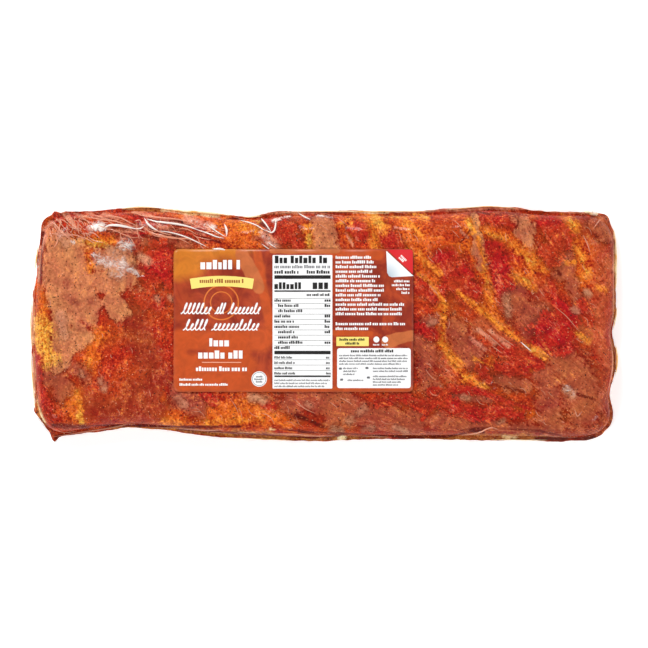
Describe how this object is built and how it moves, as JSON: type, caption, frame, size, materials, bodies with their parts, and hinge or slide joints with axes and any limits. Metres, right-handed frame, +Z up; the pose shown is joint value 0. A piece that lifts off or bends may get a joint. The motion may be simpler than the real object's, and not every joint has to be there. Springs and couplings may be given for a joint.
{
  "type": "rack of ribs",
  "caption": "Raw seasoned rack of pork ribs, meat side up, drawn tight in a clear vacuum bag with one printed label stuck on top.",
  "frame": {"origin": "under the middle of the pack, on the surface that it lies on", "axes": "+X along the rack, towards the right end as the label is read; +Y across it, towards the top of the label; +Z up"},
  "size_m": [0.4, 0.161, 0.0305],
  "materials": {
    "meat_in_film": "raw seasoned pork under tight clear film, glossy and mottled tan, orange and deep red",
    "printed_label": "smooth printed label, orange and brown-red with white panels, slight sheen"
  },
  "bodies": {
    "root": {"sealed_pack": "meat_in_film", "label": "printed_label"}
  },
  "joints": []
}
